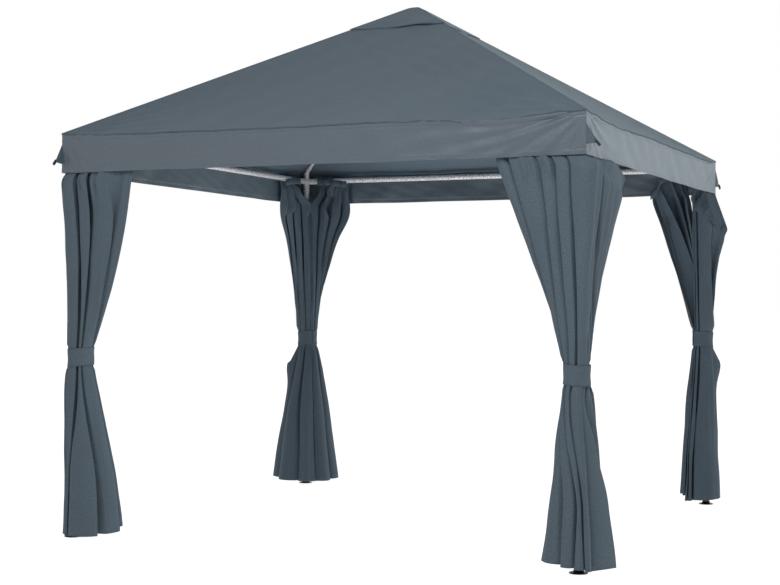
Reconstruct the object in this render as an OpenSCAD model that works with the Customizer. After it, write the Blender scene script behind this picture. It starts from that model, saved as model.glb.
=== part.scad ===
// Garden gazebo: a tubular steel frame on four legs with a hipped cloth canopy, valances,
// a vent cap and a pair of tied curtains at every corner.
// Millimetres, +Z up, origin on the ground at the middle of the plan, front side towards -Y.

/* [Canopy] */
// Side of the square canopy over its valances
canopy_side = 3000; // [2600:10:3600]
// Height of the eave at the corners
eave_height = 2231; // [2050:1:2500]
// Rise of the roof planes from the eave to the point where they would meet
roof_rise = 857; // [600:1:1100]
// Drop of the valance below the eave
valance_drop = 222; // [160:1:280]
// Thickness that the cloth is modelled at
cloth_t = 3; // [2:0.5:5]
// Height of the doubled hem along the foot of the valance
hem_h = 25; // [15:1:40]
// Extra thickness of that hem, on its inner face
hem_t = 2; // [1:0.5:4]

/* [Vent cap] */
// Side of the vent cap along its lower edge
cap_side = 600; // [500:10:900]
// Side of the vent opening that the cap covers
vent_side = 420; // [300:10:470]
// Radius of the rounded top under the cap
cap_round = 60; // [45:1:80]

/* [Frame tubes] */
// Distance of the leg axes inside the faces of the canopy
leg_inset = 50; // [46:1:80]
// Outer diameter of the legs
leg_d = 38; // [30:1:48]
// Outer diameter of the eave rails
rail_d = 36; // [26:1:40]
// Depth of the rail axes below the eave
rail_drop = 57; // [50:1:80]
// Outer diameter of the hip rafters
rafter_d = 25; // [20:1:32]
// Wall of every tube
tube_wall = 1.2; // [0.8:0.1:2.5]

/* [Sockets] */
// Wall of the sockets around the tubes
socket_wall = 2.2; // [1.5:0.1:4]
// Length of tube held in a socket or on a spigot
socket_grip = 55; // [40:1:80]
// Solid floor between a socket and the leg sleeve
socket_floor = 10; // [6:1:20]
// Gap all round between pieces that fit together
fit_gap = 0.3; // [0.2:0.05:0.4]
// Radius of the crown hub that joins the rafters
crown_r = 34; // [30:1:42]

/* [Feet] */
// Diameter of the foot plate
foot_d = 92; // [84:1:130]
// Thickness of the foot plate
foot_t = 5; // [3:0.5:8]
// Wall of the cup that holds the leg
cup_wall = 3.5; // [2:0.5:6]
// Height of the top of the cup
cup_h = 84; // [50:1:110]
// Reach of the sloped foot of the cup
cup_flare = 8; // [4:1:10]
// Peg holes in each foot plate
peg_holes = 3; // [3:1:4]
// Diameter of the peg holes
peg_hole_d = 8.5; // [6:0.5:10]

/* [Curtains] */
// Widths of the gathered headings on the front and back rails, from the front left corner anticlockwise
front_headings = [280, 370, 280, 240]; // [200:10:420]
// Widths of the gathered headings on the side rails, in the same order
side_headings = [270, 400, 270, 270]; // [200:10:420]
// Thickness of gathered cloth around the rail
heading_t = 9; // [7:0.5:12]
// Height of the frill above the rail's top
frill_h = 12; // [6:1:20]
// Depth of the tight gathers below the rail
gather_h = 30; // [20:1:60]
// How far the curtain swells outwards below the valance
belly_out = 62; // [45:1:90]
// How far the curtain swells inwards below the valance
belly_in = 34; // [26:1:60]
// Depth of the fullest part of the curtain below the valance
belly_drop = 110; // [60:1:200]
// Height of the hems above the ground
curtain_hem = 38; // [20:1:90]
// Heights of the ties, in the same order
tie_heights = [995, 956, 1072, 1047]; // [800:1:1300]
// Radii of the gathered cloth inside the ties, in the same order
bundle_radii = [71, 66, 64, 68]; // [60:1:85]
// Shifts of the gathered cloth from the legs towards the middle, along both sides, in the same order
bundle_shifts = [28, 14, 18, 24]; // [2:1:28]
// Radii of the skirts of cloth at the hems, in the same order
skirt_radii = [165, 162, 130, 160]; // [110:1:200]
// Shifts of the skirts from the legs towards the middle, along both sides, in the same order
skirt_shifts = [70, 6, 26, 4]; // [0:1:80]
// Depth of the folds from crest to valley
fold_depth = 9; // [4:0.5:14]
// Folds across one curtain
folds = 7; // [5:1:9]
// Width of the tie band
tie_w = 100; // [60:1:140]
// Room between a curtain and the tubes that it passes
curtain_gap = 1; // [0.5:0.1:3]

/* [Corner tabs] */
// Height of the sewn root of a tab
tab_h = 104; // [60:1:140]
// Reach of a tab out from the corner
tab_reach = 50; // [30:1:80]
// Drop of the tab's top below the eave
tab_drop = 66; // [30:1:90]
// Rise from the tab's bottom to its tip
tab_tip_rise = 6; // [0:1:20]
// Length of the webbing loop
loop_len = 30; // [20:1:50]
// Height of the webbing loop where it is sewn to the tab
loop_h = 10; // [8:1:14]
// Width of the webbing
loop_w = 14; // [8:1:25]
// Thickness of the webbing
loop_t = 2; // [1.5:0.5:3]

/* [Hidden] */
$fn = 64;

// Colours
canopy_colour = [0.33, 0.38, 0.42];
curtain_colour = [0.25, 0.32, 0.36];
steel_colour = [0.72, 0.71, 0.75];
foot_colour = [0.10, 0.10, 0.11];
webbing_colour = [0.05, 0.05, 0.06];

// Corners: row, column, and whether each is a mirror image of the front left one
CORNERS = [["front", "left", 0, 0], ["front", "right", 1, 0],
           ["back", "right", 1, 1], ["back", "left", 0, 1]];
// Sides: name, and the turn that brings the back side to it
SIDES = [["front", 180], ["right", 270], ["back", 0], ["left", 90]];

// Roof: half side, slope of the planes, and the angles of the planes and of the hips
half = canopy_side / 2;
slope = roof_rise / half;
pitch = atan(slope);
hip_pitch = atan(slope / sqrt(2));
cloth_v = cloth_t / cos(pitch);
function roof_top(d) = eave_height + slope * (half - d);
valance_bottom = eave_height - valance_drop;
valance_inner = half - cloth_t - hem_t;

// Vent cap: its rounded top is a ball that touches the four roof planes from below
cap_half = cap_side / 2;
vent_half = vent_side / 2;
cap_ball_z = roof_top(0) - cap_round / cos(pitch);

// Frame: places and radii of the tubes and of the sleeves that hold them
leg_pos = half - leg_inset;
rail_z = eave_height - rail_drop;
leg_sleeve_r = leg_d / 2 + fit_gap + socket_wall;
rail_sleeve_r = rail_d / 2 + fit_gap + socket_wall;
rafter_sleeve_r = rafter_d / 2 + fit_gap + socket_wall;
rail_start = leg_sleeve_r + socket_floor;
rail_sleeve_end = rail_start + socket_grip;

// Hip line of the rafter axes, which run under the hips with the sleeves against the cloth
hip_drop = cloth_v + (rafter_sleeve_r + fit_gap) / cos(pitch);
hip_z = roof_top(leg_pos) - hip_drop;
hip_len = leg_pos * sqrt(2) / cos(hip_pitch);
rafter_start = leg_sleeve_r + socket_floor;
rafter_stop = (crown_r + fit_gap) / cos(hip_pitch) + rafter_d / 2 * tan(hip_pitch);
spigot_r = rafter_d / 2 - tube_wall - fit_gap;
crown_axis_z = roof_top(0) - hip_drop;
crown_floor = 12;
crown_bottom = crown_axis_z - crown_r * tan(hip_pitch) - rafter_d / 2 / cos(hip_pitch) - crown_floor;
sleeve_bottom = rail_z - rail_sleeve_r - socket_grip;
sleeve_cap = 12;
leg_top = hip_z - sleeve_cap;

// Feet: radii of the cup, and the circle of the peg holes in the flat ring around it
cup_bore_r = leg_d / 2 + fit_gap;
cup_r = cup_bore_r + cup_wall;
cup_flare_h = 14;
plate_edge = 1.5;
peg_circle_r = (cup_r + cup_flare + foot_d / 2) / 2;

// Curtains: places along the rail and heights of the levels that shape them
sleeve_margin = 4;
heading_start = rail_sleeve_end + sleeve_margin;
heading_half = rail_d / 2 + fit_gap + heading_t;
heading_top = rail_z + rail_d / 2 + frill_h;
heading_bottom = rail_z - rail_d / 2 - gather_h;
hem_clear = 3;
under_valance = valance_inner - leg_pos - hem_clear;
corner_start = leg_d / 2 + 2 * sleeve_margin;
belly_z = valance_bottom - belly_drop;
split_gap = 0.4;
belly_share = 0.92;
waist_share = 0.44;
knee_height = 0.45;
knee_spread = 0.62;
out_steps = 4 * folds;
in_steps = 2 * folds;
end_part = 0.15;
end_bulge = 8;

// Corner tabs: heights of the root and of the cut tip that carries the loop
tab_top = eave_height - tab_drop;
tab_bottom = tab_top - tab_h;
tip_z = tab_bottom + tab_tip_rise;
tip_cut = loop_h / sqrt(2);

// Puts a piece drawn at the front left leg, with the rails along +X and +Y, at a corner
module at_corner(c) {
    mirror([c[2], 0, 0]) mirror([0, c[3], 0]) translate([-leg_pos, -leg_pos, 0]) children();
}

// Points +Z up a hip from the leg, at the height of the rafter axis
module along_hip() {
    translate([0, 0, hip_z]) rotate([0, 0, 45]) rotate([0, 90 - hip_pitch, 0]) children();
}

module tube(d, length) {
    difference() {
        cylinder(d = d, h = length);
        translate([0, 0, -1]) cylinder(d = d - 2 * tube_wall, h = length + 2);
    }
}

// A profile of distance from the middle and height, carried along one side and mitred at the hips
module mitred_side(turn, profile) {
    reach = 1.1 * canopy_side;
    rotate([0, 0, turn]) intersection() {
        rotate([90, 0, 90]) linear_extrude(reach, center = true) polygon(profile);
        linear_extrude(2 * eave_height) polygon([[0, 0], [reach, reach], [-reach, reach]]);
    }
}

module leg(c) {
    color(steel_colour) at_corner(c) translate([0, 0, foot_t]) tube(leg_d, leg_top - foot_t);
}

// Foot plate with a flared cup for the leg and holes for ground pegs
module foot(c) {
    plate_r = foot_d / 2;
    color(foot_colour) at_corner(c) difference() {
        rotate_extrude() polygon([
            [0, 0], [plate_r, 0], [plate_r, foot_t - plate_edge], [plate_r - plate_edge, foot_t],
            [cup_r + cup_flare, foot_t], [cup_r, foot_t + cup_flare_h], [cup_r, cup_h],
            [cup_bore_r, cup_h], [cup_bore_r, foot_t], [0, foot_t]]);
        for (i = [0 : peg_holes - 1])
            rotate([0, 0, 45 + 360 * i / peg_holes]) translate([peg_circle_r, 0, -1])
                cylinder(d = peg_hole_d, h = foot_t + 2);
    }
}

// Welded corner: a sleeve over the leg, two rail sockets and one rafter socket
module corner_socket(c) {
    color(steel_colour) at_corner(c) difference() {
        union() {
            translate([0, 0, sleeve_bottom]) cylinder(r = leg_sleeve_r, h = hip_z - sleeve_bottom);
            translate([0, 0, rail_z]) {
                rotate([0, 90, 0]) cylinder(r = rail_sleeve_r, h = rail_sleeve_end);
                rotate([-90, 0, 0]) cylinder(r = rail_sleeve_r, h = rail_sleeve_end);
            }
            along_hip() cylinder(r = rafter_sleeve_r, h = rafter_start + socket_grip);
        }
        translate([0, 0, sleeve_bottom - 1])
            cylinder(r = leg_d / 2 + fit_gap, h = leg_top - sleeve_bottom + 1);
        translate([0, 0, rail_z]) {
            translate([rail_start, 0, 0]) rotate([0, 90, 0])
                cylinder(r = rail_d / 2 + fit_gap, h = socket_grip + 1);
            translate([0, rail_start, 0]) rotate([-90, 0, 0])
                cylinder(r = rail_d / 2 + fit_gap, h = socket_grip + 1);
        }
        along_hip() translate([0, 0, rafter_start])
            cylinder(r = rafter_d / 2 + fit_gap, h = socket_grip + 1);
    }
}

module eave_rail(turn) {
    length = 2 * (leg_pos - rail_start);
    color(steel_colour) rotate([0, 0, turn]) translate([-length / 2, leg_pos, rail_z])
        rotate([0, 90, 0]) tube(rail_d, length);
}

module hip_rafter(c) {
    color(steel_colour) at_corner(c) along_hip() translate([0, 0, rafter_start])
        tube(rafter_d, hip_len - rafter_stop - rafter_start);
}

// Hub with a domed top under the cap and a spigot in each rafter
module crown_hub() {
    color(steel_colour) union() {
        intersection() {
            translate([0, 0, crown_bottom]) cylinder(r = crown_r, h = 2 * cap_round);
            translate([0, 0, cap_ball_z]) sphere(r = cap_round - fit_gap);
        }
        for (c = CORNERS) at_corner(c) along_hip()
            translate([0, 0, hip_len - rafter_stop - socket_grip])
                cylinder(r = spigot_r, h = rafter_stop + socket_grip);
    }
}

module roof_panel(turn) {
    color(canopy_colour) mitred_side(turn, [
        [vent_half, roof_top(vent_half) - cloth_v], [half, roof_top(half) - cloth_v],
        [half, roof_top(half)], [vent_half, roof_top(vent_half)]]);
}

// Valance sewn under the eave, with a doubled hem along its foot
module valance(turn) {
    inner = half - cloth_t;
    color(canopy_colour) mitred_side(turn, [
        [valance_inner, valance_bottom], [half, valance_bottom],
        [half, roof_top(half) - cloth_v], [inner, roof_top(inner) - cloth_v],
        [inner, valance_bottom + hem_h], [valance_inner, valance_bottom + hem_h]]);
}

// Four-sided cap over the vent, lying on the roof planes and rounded over the crown
module vent_cap() {
    lap = 20;
    low_half = cap_half + lap;
    color(canopy_colour) difference() {
        hull() {
            translate([-cap_half, -cap_half, roof_top(cap_half)]) cube([cap_side, cap_side, cloth_v]);
            translate([0, 0, cap_ball_z]) sphere(r = cap_round + cloth_t, $fn = 48);
        }
        hull() {
            translate([-low_half, -low_half, roof_top(low_half) - 1])
                cube([2 * low_half, 2 * low_half, 1]);
            translate([0, 0, cap_ball_z]) sphere(r = cap_round, $fn = 48);
        }
    }
}

// Depth of a fold at s from 0 to 1 across the curtain, none on the crests
function fold(s) = fold_depth / 2 * (1 - cos(360 * folds * s));

// Outer edge of the gathered half bundle, from the outside of the corner round to its inside
function bundle_edge(s, r, shift) =
    let (a = -135 + 180 * s)
    [shift + (r - fold(s)) * cos(a), shift + (r - fold(s)) * sin(a)];

// Back of the half bundle, along the diagonal of the corner
function bundle_back(s, r, shift) =
    let (along = shift + r * cos(45) * (2 * s - 1), dip = fold(s) * cos(45))
    [along + dip, along - dip];

// Outer face of the cloth along the rail between two places, then round its free end
function rail_edge(s, ends, y_out, y_in) =
    let (run = s / (1 - end_part), turn = (s - 1 + end_part) / end_part)
    run <= 1
        ? [ends[0] + (ends[1] - ends[0]) * run, -y_out + fold(s)]
        : [ends[1] + end_bulge * sin(180 * turn), -y_out + (y_out + y_in) * turn];

// Inner face of the cloth along the rail, kept on its own side of the corner's diagonal
function rail_back(s, ends, y_in) =
    let (x = ends[0] + (ends[1] - ends[0]) * s)
    [x, min(y_in, x - sleeve_margin) - fold(s) / 2];

// One level of a curtain: its share of the rail's outline, the rest being the bundle's
function curtain_level(z, share, r, shift, ends, y_out, y_in) = concat(
    [for (i = [0 : out_steps]) let (s = i / out_steps)
        concat((1 - share) * bundle_edge(s, r, shift) + share * rail_edge(s, ends, y_out, y_in), z)],
    [for (i = [1 : in_steps - 1]) let (s = 1 - i / in_steps)
        concat((1 - share) * bundle_back(s, r, shift) + share * rail_back(s, ends, y_in), z)]);

function bundle_level(z, r, shift) = curtain_level(z, 0, r, shift, [0, 0], 0, 0);
function rail_level(z, ends, y_out, y_in) = curtain_level(z, 1, 0, 0, ends, y_out, y_in);

// A curtain of corner i with a heading of some width on the rail along +X, gathered against the leg
module draped_half(i, heading_w) {
    low = tie_heights[i] - tie_w / 2;
    high = tie_heights[i] + tie_w / 2;
    r = bundle_radii[i];
    shift = bundle_shifts[i];
    knee_z = curtain_hem + knee_height * (low - curtain_hem);
    knee_r = r + knee_spread * (skirt_radii[i] - r);
    knee_shift = shift + knee_spread * (skirt_shifts[i] - shift);
    heading_end = heading_start + heading_w;
    heading = [heading_start, heading_end];
    belly = [corner_start, heading_end];
    levels = [
        bundle_level(curtain_hem, skirt_radii[i], skirt_shifts[i]),
        bundle_level(knee_z, knee_r, knee_shift),
        bundle_level(low, r, shift),
        bundle_level(high, r, shift),
        curtain_level((high + belly_z) / 2, waist_share, r, shift, belly, belly_out, belly_in),
        curtain_level(belly_z, belly_share, r, shift, belly, belly_out, belly_in),
        rail_level(valance_bottom, belly, under_valance, heading_half),
        rail_level(heading_bottom, heading, heading_half, heading_half),
        rail_level(heading_top, heading, heading_half, heading_half)];
    n = len(levels[0]);
    last = (len(levels) - 1) * n;
    sides = [for (k = [0 : len(levels) - 2]) for (j = [0 : n - 1])
        let (a = k * n + j, b = k * n + (j + 1) % n)
        each [[a, a + n, b + n], [a, b + n, b]]];
    caps = [[for (j = [0 : n - 1]) j], [for (j = [n - 1 : -1 : 0]) last + j]];
    difference() {
        translate([split_gap, -split_gap, 0])
            polyhedron([for (level = levels) each level], concat(sides, caps));
        cylinder(r = leg_d / 2 + curtain_gap, h = belly_z);
        cylinder(r = cup_r + curtain_gap, h = cup_h + curtain_gap);
        translate([0, 0, rail_z]) rotate([0, 90, 0])
            cylinder(r = rail_d / 2 + fit_gap, h = heading_end + 2 * end_bulge);
    }
}

module curtain_along_x(i) {
    color(curtain_colour) at_corner(CORNERS[i]) draped_half(i, front_headings[i]);
}

module curtain_along_y(i) {
    color(curtain_colour) at_corner(CORNERS[i]) mirror([1, -1, 0]) draped_half(i, side_headings[i]);
}

// Band of cloth around the leg and both curtains of corner i
module tie_back(i) {
    inner_r = bundle_radii[i] + fit_gap;
    color(curtain_colour) at_corner(CORNERS[i])
        translate([bundle_shifts[i], bundle_shifts[i], tie_heights[i] - tie_w / 2]) difference() {
            cylinder(r = inner_r + cloth_t, h = tie_w);
            translate([0, 0, -1]) cylinder(r = inner_r, h = tie_w + 2);
        }
}

// Turns +X outwards along the diagonal from a corner of the canopy
module at_canopy_corner(c) {
    mirror([c[2], 0, 0]) mirror([0, c[3], 0]) translate([-half, -half, 0]) rotate([0, 0, 225])
        children();
}

// Three-cornered tabs sewn into the corner seams, each notched over the corner
module corner_tabs() {
    edge = cloth_t / 2;
    color(canopy_colour) for (c = CORNERS) at_canopy_corner(c) intersection() {
        translate([0, 0, tab_bottom]) linear_extrude(tab_h)
            polygon([[-edge, edge], [0, 0], [-edge, -edge], [tab_reach, -edge], [tab_reach, edge]]);
        rotate([90, 0, 0]) linear_extrude(2 * cloth_t, center = true)
            polygon([[-cloth_t, tab_bottom], [tab_reach - tip_cut, tip_z],
                     [tab_reach, tip_z + tip_cut], [0, tab_top], [-cloth_t, tab_top]]);
    }
}

// Outline of a loop of webbing with one flat, sewn end
module loop_outline(length, height) {
    translate([0, -height / 2]) square([length - height / 2, height]);
    translate([length - height / 2, 0]) circle(d = height);
}

// Webbing loops for guy lines on the cut tips of the tabs
module guy_loops() {
    color(webbing_colour) for (c = CORNERS) at_canopy_corner(c)
        translate([tab_reach - tip_cut / 2, 0, tip_z + tip_cut / 2]) rotate([0, 45, 0])
            rotate([90, 0, 0]) linear_extrude(loop_w, center = true) difference() {
                loop_outline(loop_len, loop_h);
                translate([loop_t, 0]) loop_outline(loop_len - 2 * loop_t, loop_h - 2 * loop_t);
            }
}

for (i = [0 : 3]) {
    c = CORNERS[i];
    corner = str(c[0], "_", c[1]);
    leg(c);
    foot(c);
    corner_socket(c);
    hip_rafter(c);
    curtain_along_x(i);
    curtain_along_y(i);
    tie_back(i);
}
for (s = SIDES) {
    eave_rail(s[1]);
    roof_panel(s[1]);
    valance(s[1]);
}
crown_hub();
vent_cap();
corner_tabs();
guy_loops();
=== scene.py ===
"""Garden gazebo: cloth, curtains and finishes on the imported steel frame.

The tubes, sockets and feet stay as the frame has them and get their finishes here. The canopy, vent cap,
valance, corner tabs, curtains and ties are sheets worked out from the places of their CAD nodes.
"""

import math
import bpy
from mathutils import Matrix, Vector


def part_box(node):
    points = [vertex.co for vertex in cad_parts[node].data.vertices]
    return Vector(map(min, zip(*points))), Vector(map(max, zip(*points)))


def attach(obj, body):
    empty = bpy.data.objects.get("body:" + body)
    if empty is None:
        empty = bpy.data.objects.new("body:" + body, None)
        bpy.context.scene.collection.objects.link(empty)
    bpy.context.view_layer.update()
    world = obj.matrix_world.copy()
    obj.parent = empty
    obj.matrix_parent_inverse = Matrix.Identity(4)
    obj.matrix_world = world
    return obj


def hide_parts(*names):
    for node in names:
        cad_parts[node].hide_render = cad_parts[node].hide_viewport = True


bl_info = {
    "name": "Garden Gazebo Dressing",
    "version": (1, 0, 0),
    "blender": (4, 5, 0),
    "location": "View3D > Sidebar > Gazebo",
    "description": "Cloth, curtains and finishes for the packed gazebo frame",
    "category": "Object",
}

import bmesh
import bpy
import numpy as np
from mathutils import Matrix

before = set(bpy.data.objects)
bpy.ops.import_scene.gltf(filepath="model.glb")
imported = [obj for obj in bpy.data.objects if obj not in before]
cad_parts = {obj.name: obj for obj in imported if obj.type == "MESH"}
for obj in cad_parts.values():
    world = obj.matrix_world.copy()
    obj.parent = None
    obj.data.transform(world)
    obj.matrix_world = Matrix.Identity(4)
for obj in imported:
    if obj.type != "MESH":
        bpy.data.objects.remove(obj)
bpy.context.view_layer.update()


def span_of(node):
    """Lowest and highest corner of a CAD node, as arrays."""
    low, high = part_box(node)
    return np.array(low), np.array(high)


# Corners of the plan: signs that turn the front left corner into each of them
CORNERS = {"front_left": (1, 1), "front_right": (-1, 1), "back_right": (-1, -1), "back_left": (1, -1)}
SIDES = ("front", "right", "back", "left")
# Ways along and out of each side, in the order of SIDES, which goes round anticlockwise from the front
SIDE_ALONG = np.array([[1.0, 0.0], [0.0, 1.0], [-1.0, 0.0], [0.0, -1.0]])
SIDE_OUT = np.array([[0.0, -1.0], [1.0, 0.0], [0.0, 1.0], [-1.0, 0.0]])

# Canopy: half side, vent, slope and eave, from the roof panel's box and the skin it is modelled at
SKIN = 0.003
PANEL_LOW, PANEL_HIGH = span_of("roof_panel_front")
HALF = -PANEL_LOW[1]
VENT = -PANEL_HIGH[1]
PANEL_RUN = HALF - VENT
PANEL_RISE = PANEL_HIGH[2] - PANEL_LOW[2]
SLOPE = (PANEL_RISE - SKIN * math.hypot(1.0, PANEL_RISE / PANEL_RUN)) / PANEL_RUN
EAVE = PANEL_LOW[2] + SKIN * math.hypot(1.0, SLOPE)
VALANCE_FOOT = span_of("valance_front")[0][2]
CAP_HIGH = span_of("vent_cap")[1]
CAP_HALF = CAP_HIGH[0]
# Length up the slope for each length of plan that the weave and stitches are laid out with
PATTERN_CLIMB = 1.15

# Frame: leg axis, rail axis and their radii
LEG_LOW, LEG_HIGH = span_of("leg_front_right")
LEG = (LEG_LOW[0] + LEG_HIGH[0]) / 2
LEG_R = (LEG_HIGH[0] - LEG_LOW[0]) / 2
RAIL_LOW, RAIL_HIGH = span_of("eave_rail_front")
RAIL_Z = (RAIL_LOW[2] + RAIL_HIGH[2]) / 2
RAIL_R = (RAIL_HIGH[2] - RAIL_LOW[2]) / 2

# Sway of the valance out and in, by side
VALANCE_SWAY = np.array([0.0040, 0.0015, 0.0045, 0.0045])
# Lift of the vent cap's edge on each side: all along it, and more where it bows open
CAP_LIFT = np.array([[0.002, 0.009], [0.001, 0.001], [0.002, 0.004], [0.002, 0.003]])
# Dips of the eave along each side: place from hip to hip, width and depth
EAVE_DIPS = {"front": (0.70, 0.15, 0.018), "right": (-0.55, 0.25, 0.007),
             "back": (0.35, 0.25, 0.008), "left": (-0.60, 0.20, 0.010)}

# Guy tabs: thickness, and swing from the diagonal in degrees anticlockwise
TAB_CLOTH = 0.0022
TAB_SWING = {"front_left": 37.0, "front_right": 52.0, "back_right": 31.0}
# Guy loops: length, and width and thickness of the webbing
LOOP_LENGTH = 0.034
LOOP_WIDTH = 0.014
LOOP_WEBBING = 0.0016

# Ties: width of the band, half of it, and thickness
TIE_WIDTH = 0.100
TIE_HALF = TIE_WIDTH / 2
TIE_CLOTH = 0.0016


def hang(corner, rail, reach, folds, hem_depths, skirt, hem, **changes):
    """How one curtain hangs: its corner and rail, its reach along the rail, the places of its tucks at the
    top, the tie and the hem, their depths at the hem, the skirt's radius and the hem's height. The rest has
    usual values, and changes replace them:
    start, wrap, where the leading edge starts along the rail, and how far it then goes to its place;
    round, lead, length carried on past the corner, or the place of a leading edge inside the leg;
    cross, how far it may cross the diagonal above, at and below the tie;
    twist, turn of the leading edge round the leg above and below the tie, in degrees;
    tufts, upper, places of pinched tufts, and share of the usual depth of the tucks above the tie;
    droop, flop, flare, sweep, fall and lean of the free corner, and spread and late swing of the free edge;
    swell, bulge, lip, how far it stands out under the valance, at the corner, and just below the valance;
    over, rise of the leading edge over the other half;
    cone, rise, bend of the skirt's outline, and rise of the hem towards the free edge;
    valley, puff, place and depth of a valley in the skirt, and place, size and height of a puff."""
    how = {"start": 0.096, "wrap": 1.0, "round": 0.0, "lead": None, "cross": (0.0, 0.0, 0.0),
           "twist": (0.0, 0.0), "tufts": None, "upper": 1.0, "droop": 0.02, "flop": 0.0, "flare": 0.0,
           "sweep": 1.05, "swell": 0.030, "bulge": 0.030, "lip": 0.0, "over": 0.0, "cone": 0.80,
           "rise": 0.045, "valley": (0.5, 0.0), "puff": (0.5, 0.0, 0.15)}
    how.update(corner=corner, rail=rail, reach=reach, folds=folds)
    how.update(hem_depths=hem_depths, skirt=skirt, hem=hem)
    how.update(changes)
    return how


CURTAINS = {
    "curtain_front_left": hang(
        "front_left", "x", 0.400, ((0.28, 0.50, 0.84), (0.38, 0.48, 0.84), (0.07, 0.555, 0.86)),
        (0.13, 0.15, 0.10), 0.152, 0.012, swell=0.020, bulge=0.012, sweep=1.75, tufts=(0.37, 0.58),
        upper=(1.0, 1.1, 0.3)),
    "curtain_left_front": hang(
        "front_left", "y", 0.36, ((0.30, 0.55, 0.80), (0.26, 0.52, 0.78), (0.24, 0.50, 0.78)),
        (0.13, 0.14, 0.12), 0.152, 0.012, swell=0.026, bulge=0.004, lip=0.004, sweep=1.3,
        tufts=(0.5, 0.8)),
    "curtain_front_right": hang(
        "front_right", "x", 0.46,
        ((0.406, 0.531, 0.643, 0.90), (0.29, 0.50, 0.66, 0.86), (0.064, 0.177, 0.344, 0.70)),
        (0.10, 0.12, 0.12, 0.10), 0.172, 0.036, round=0.13, cross=(0.16, 0.060, 0.0), twist=(-28.0, 10.0),
        bulge=0.046, over=0.010, sweep=1.03, cone=1.05, tufts=(0.552, 0.672, 0.752),
        upper=(0.9, 1.1, 1.0, 0.7)),
    "curtain_right_front": hang(
        "front_right", "y", 0.535, ((0.02, 0.045, 0.07), (0.25, 0.29, 0.33), (0.56, 0.72, 0.88)),
        (0.13, 0.13, 0.11), 0.172, 0.032, wrap=0.45, cross=(0.0, 0.0, 0.10), twist=(26.0, -24.0),
        droop=0.235, flop=0.060, bulge=0.036, sweep=1.0, rise=0.002, cone=0.95, tufts=(),
        valley=(0.16, 0.026)),
    "curtain_back_right": hang(
        "back_right", "x", 0.37, ((0.20, 0.40, 0.66), (0.20, 0.45, 0.72), (0.22, 0.48, 0.76)),
        (0.10, 0.10, 0.08), 0.116, 0.030, start=0.165, wrap=0.09, droop=0.16, flop=0.020, bulge=0.0),
    "curtain_right_back": hang(
        "back_right", "y", 0.27, ((0.09, 0.20, 0.90), (0.07, 0.18, 0.90), (0.05, 0.16, 0.90)),
        (0.10, 0.09, 0.12), 0.116, 0.028, lead=(0.050, 0.090), cross=(0.050, 0.0, 0.0), droop=0.40,
        flop=0.165, bulge=0.0, swell=0.0, sweep=1.3, puff=(0.82, 0.042, 0.11), upper=(1.5, 1.2, 0.4)),
    "curtain_back_left": hang(
        "back_left", "x", 0.32, ((0.26, 0.52, 0.80), (0.22, 0.46, 0.80), (0.24, 0.58, 0.84)),
        (0.12, 0.12, 0.12), 0.207, 0.034, start=0.098, lead=(0.027, 0.025), swell=0.0, bulge=0.0,
        flare=0.060, sweep=1.3),
    "curtain_left_back": hang(
        "back_left", "y", 0.36, ((0.24, 0.50, 0.78), (0.20, 0.44, 0.80), (0.22, 0.50, 0.80)),
        (0.12, 0.12, 0.12), 0.207, 0.034, start=0.140, lead=(0.037, 0.0345), over=0.010, swell=0.0,
        bulge=0.0, flare=0.060, sweep=1.3, puff=(0.64, 0.043, 0.15)),
}
# Shift of each skirt's middle from the leg towards the middle of the plan, along the front and the side
SKIRT_SHIFT = {"front_left": (0.084, 0.072), "front_right": (-0.008, 0.012), "back_right": (0.030, 0.030),
               "back_left": (0.004, 0.004)}
# Tucks: columns across a curtain, share of its width that goes into tucks, stations down it, which are 0 at
# the rail, 1 at the tie and 2 at the hem, and depths at the stations above the tie, at it and just below it
CURTAIN_COLUMNS = 160
TUCK_SHARE = 0.58
TUCK_STATIONS = (0.0, 0.10, 0.18, 0.30, 0.65, 1.0, 1.25, 2.0)
TUCK_DEPTHS_ABOVE = (0.014, 0.034, 0.060, 0.085, 0.105)
TUCK_DEPTHS_AT_TIE = (0.043, 0.085)
# Depth at which a tuck is fully drawn, and share of the row's line that it then does without
TUCK_DRAWN = 0.025
TUCK_TAKES = 0.95
# Bow of the panels between tucks for each of their width, and widest share that one bows over below the tie
PANEL_BOW = 0.16
PANEL_WIDEST = 0.40
# Gathers on the rail: their number and depth. Tufts: width along the row, reach out of it and lean aside
GATHERS = 21.0
GATHER_DEPTH = 0.005
TUFT_WIDTH = 0.018
TUFT_OUT = 0.038
TUFT_ASIDE = 0.020
# Degrees round the tie in the corner's own plan, where 45 faces the middle of the gazebo: a leading edge
# inside the leg, the outside of the corner, a free edge that ends on the inside, and how far one that ends
# at the corner stops short of it above the tie
BEYOND_LEG = 44.0
AT_CORNER = -133.0
FREE_EDGE = 41.0
FREE_SHORT = 20.0
# Rod pocket seen along the rail: offsets from the rail's axis, from the back hem over the frill to the
# front, and the number of its rows that stay as they are when the cloth is smoothed
POCKET_Y = RAIL_R * np.array([1.14, 1.16, 1.12, 0.41, 0.08, 0.00, -0.08, -0.41, -1.12, -1.16, -1.14])
POCKET_Z = RAIL_R * np.array([-1.75, -0.70, 0.25, 1.16, 1.30, 1.67, 1.30, 1.16, 0.25, -0.70, -1.75])
POCKET_KEPT = 9

# Camera of the picture: place, yaw, pitch and roll in degrees, and lens and sensor width in millimetres
CAMERA_PLACE = (3.624, -8.807, 1.294)
CAMERA_TURN = (23.284, 0.408, 0.182)
CAMERA_LENS = 72.96
CAMERA_SENSOR = 36.0
CAMERA_FAR = 500.0
# Floor: half side, points along a side, and strength that it shines with where the camera sees it
FLOOR_HALF = 60.0
FLOOR_POINTS = 25
FLOOR_SHOWN = 0.66


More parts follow.
